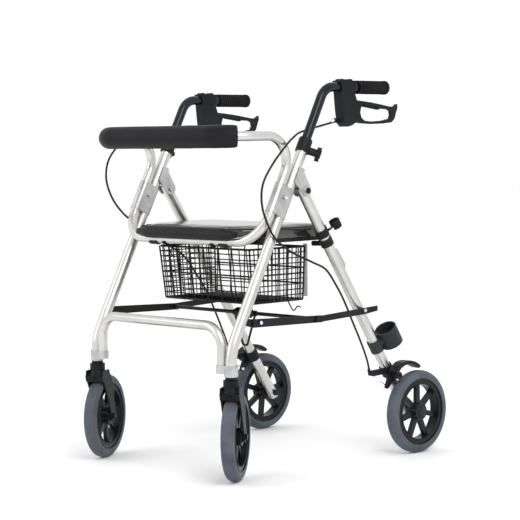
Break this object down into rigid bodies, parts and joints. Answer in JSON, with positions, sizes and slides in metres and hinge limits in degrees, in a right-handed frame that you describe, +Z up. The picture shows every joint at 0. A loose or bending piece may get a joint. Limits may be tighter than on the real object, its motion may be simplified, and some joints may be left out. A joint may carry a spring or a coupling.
{
  "type": "rollator walker",
  "caption": "Rollator walker with a folding silver tube frame, padded seat and backrest, wire basket, hand brakes, a stick holder and swivelling front castors",
  "frame": {"origin": "On the floor, in the middle of the object's box in plan", "axes": "+Z up, -Y the way the walker travels, +X the left side of the person walking behind it"},
  "size_m": [0.5909, 0.7412, 0.9],
  "materials": {
    "frame_silver": "satin silver anodised tube",
    "bracket_zinc": "bright zinc, lightly brushed",
    "handle_black": "glossy black lacquer",
    "black_steel": "semi-gloss black coating",
    "black_plastic": "fine-grained black moulding",
    "cup_plastic": "dark grey moulding",
    "hub_black": "semi-gloss black moulding",
    "tyre_grey": "blue-grey solid rubber",
    "grip_rubber": "soft black rubber",
    "cable_black": "smooth black cable housing",
    "pad_foam": "black skinned foam",
    "seat_vinyl": "smooth black vinyl with a soft sheen",
    "basket_wire": "black plastic-coated wire"
  },
  "bodies": {
    "front_frame": {"leg_left": "frame_silver", "leg_right": "frame_silver", "seat_loop": "frame_silver", "lower_cross_tube": "frame_silver", "backrest_pad": "pad_foam", "loop_brackets": "bracket_zinc", "hinge_brackets": "bracket_zinc", "leg_collar_left": "black_plastic", "leg_collar_right": "black_plastic", "castor_sockets": "black_plastic", "lower_clamps": "bracket_zinc", "brace_lugs": "black_steel"},
    "handle_left": {"handle_tube_left": "handle_black", "hand_grip_left": "grip_rubber", "brake_body_left": "black_plastic", "upper_cable_left": "cable_black"},
    "handle_right": {"handle_tube_right": "handle_black", "hand_grip_right": "grip_rubber", "brake_body_right": "black_plastic", "upper_cable_right": "cable_black"},
    "lever_left": {"brake_lever_left": "black_plastic"},
    "lever_right": {"brake_lever_right": "black_plastic"},
    "knob_left": {"clamp_knob_left": "black_plastic"},
    "knob_right": {"clamp_knob_right": "black_plastic"},
    "rear_frame": {"rear_leg_left": "frame_silver", "rear_leg_right": "frame_silver", "leg_plugs": "black_plastic", "rear_axles": "black_steel", "seat_rests": "black_plastic", "brake_bracket_left": "black_plastic", "brake_bracket_right": "black_plastic", "stick_clip": "black_plastic", "stick_cup": "cup_plastic", "leg_gusset": "bracket_zinc", "lower_cable_left": "cable_black", "lower_cable_right": "cable_black"},
    "shoe_left": {"brake_shoe_left": "black_steel"},
    "shoe_right": {"brake_shoe_right": "black_steel"},
    "rear_wheel_left": {"rear_tyre_left": "tyre_grey", "rear_hub_left": "hub_black"},
    "rear_wheel_right": {"rear_tyre_right": "tyre_grey", "rear_hub_right": "hub_black"},
    "castor_left": {"castor_fork_left": "black_plastic"},
    "castor_right": {"castor_fork_right": "black_plastic"},
    "castor_wheel_left": {"castor_tyre_left": "tyre_grey", "castor_rim_left": "hub_black"},
    "castor_wheel_right": {"castor_tyre_right": "tyre_grey", "castor_rim_right": "hub_black"},
    "seat": {"seat_cushion": "seat_vinyl", "seat_board": "black_plastic", "seat_clips": "black_plastic", "basket": "basket_wire", "basket_strip": "bracket_zinc"},
    "brace_front_pair": {"brace_front": "black_steel", "cross_rod": "black_steel", "rod_grip": "black_plastic", "pull_loop": "basket_wire"},
    "brace_rear_pair": {"brace_rear": "black_steel"}
  },
  "joints": [
    {"name": "frame_fold", "type": "hinge", "parent": "front_frame", "child": "rear_frame", "pos_m": [0.01055, -0.08445, 0.644], "axis": [-1, 0, 0], "range_deg": [0, 25], "deforming": ["lower_cable_left", "lower_cable_right"]},
    {"name": "brace_front_fold", "type": "hinge", "parent": "front_frame", "child": "brace_front_pair", "pos_m": [0.01055, -0.24045, 0.355], "axis": [1, 0, 0], "range_deg": [0, 32.98]},
    {"name": "brace_rear_fold", "type": "hinge", "parent": "rear_frame", "child": "brace_rear_pair", "pos_m": [0.01055, 0.10255, 0.357], "axis": [-1, 0, 0], "range_deg": [0, 52.86]},
    {"name": "seat_lift", "type": "hinge", "parent": "front_frame", "child": "seat", "pos_m": [0.01055, -0.22195, 0.531], "axis": [1, 0, 0], "range_deg": [0, 48]},
    {"name": "handle_height_left", "type": "slide", "parent": "front_frame", "child": "handle_left", "axis": [0, 0.4652, 0.8852], "range_m": [-0.08, 0.08], "deforming": ["upper_cable_left"]},
    {"name": "handle_height_right", "type": "slide", "parent": "front_frame", "child": "handle_right", "axis": [0, 0.4652, 0.8852], "range_m": [-0.06, 0.1], "deforming": ["upper_cable_right"]},
    {"name": "clamp_knob_turn_left", "type": "hinge", "parent": "front_frame", "child": "knob_left", "pos_m": [0.24315, -0.0811, 0.739], "axis": [0.7071, 0.6259, -0.3289], "continuous": true},
    {"name": "clamp_knob_turn_right", "type": "hinge", "parent": "front_frame", "child": "knob_right", "pos_m": [-0.22205, -0.0811, 0.739], "axis": [-0.7071, 0.6259, -0.3289], "continuous": true},
    {"name": "brake_squeeze_left", "type": "hinge", "parent": "handle_left", "child": "lever_left", "pos_m": [0.24315, 0.07855, 0.826], "axis": [1, 0, 0], "range_deg": [0, 10], "stiffness_Nm_per_rad": 1, "springref_deg": -11.46},
    {"name": "brake_squeeze_right", "type": "hinge", "parent": "handle_right", "child": "lever_right", "pos_m": [-0.22205, 0.06804, 0.80599], "axis": [1, 0, 0], "range_deg": [0, 10], "stiffness_Nm_per_rad": 1, "springref_deg": -11.46},
    {"name": "brake_shoe_press_left", "type": "hinge", "parent": "rear_frame", "child": "shoe_left", "pos_m": [0.27315, 0.20155, 0.194], "axis": [-1, 0, 0], "range_deg": [0, 4]},
    {"name": "brake_shoe_press_right", "type": "hinge", "parent": "rear_frame", "child": "shoe_right", "pos_m": [-0.25205, 0.20155, 0.194], "axis": [-1, 0, 0], "range_deg": [0, 4]},
    {"name": "rear_wheel_spin_left", "type": "hinge", "parent": "rear_frame", "child": "rear_wheel_left", "pos_m": [0.27815, 0.27055, 0.1], "axis": [1, 0, 0], "continuous": true},
    {"name": "rear_wheel_spin_right", "type": "hinge", "parent": "rear_frame", "child": "rear_wheel_right", "pos_m": [-0.25705, 0.27055, 0.1], "axis": [1, 0, 0], "continuous": true},
    {"name": "castor_swivel_left", "type": "hinge", "parent": "front_frame", "child": "castor_left", "pos_m": [0.24315, -0.31445, 0.232], "axis": [0, 0, 1], "continuous": true},
    {"name": "castor_wheel_spin_left", "type": "hinge", "parent": "castor_left", "child": "castor_wheel_left", "pos_m": [0.22049, -0.28148, 0.1], "axis": [0.8241, 0.5664, 0], "continuous": true},
    {"name": "castor_swivel_right", "type": "hinge", "parent": "front_frame", "child": "castor_right", "pos_m": [-0.22205, -0.31445, 0.232], "axis": [0, 0, 1], "continuous": true},
    {"name": "castor_wheel_spin_right", "type": "hinge", "parent": "castor_right", "child": "castor_wheel_right", "pos_m": [-0.24021, -0.27881, 0.1], "axis": [0.891, 0.454, 0], "continuous": true}
  ],
  "couplings": [
    {"joint": "brace_front_fold", "follows": "frame_fold", "ratio": 1.3192},
    {"joint": "brace_rear_fold", "follows": "frame_fold", "ratio": 2.1144},
    {"joint": "seat_lift", "follows": "frame_fold", "ratio": 1.92},
    {"joint": "brake_shoe_press_left", "follows": "brake_squeeze_left", "ratio": 0.4},
    {"joint": "brake_shoe_press_right", "follows": "brake_squeeze_right", "ratio": 0.4}
  ]
}
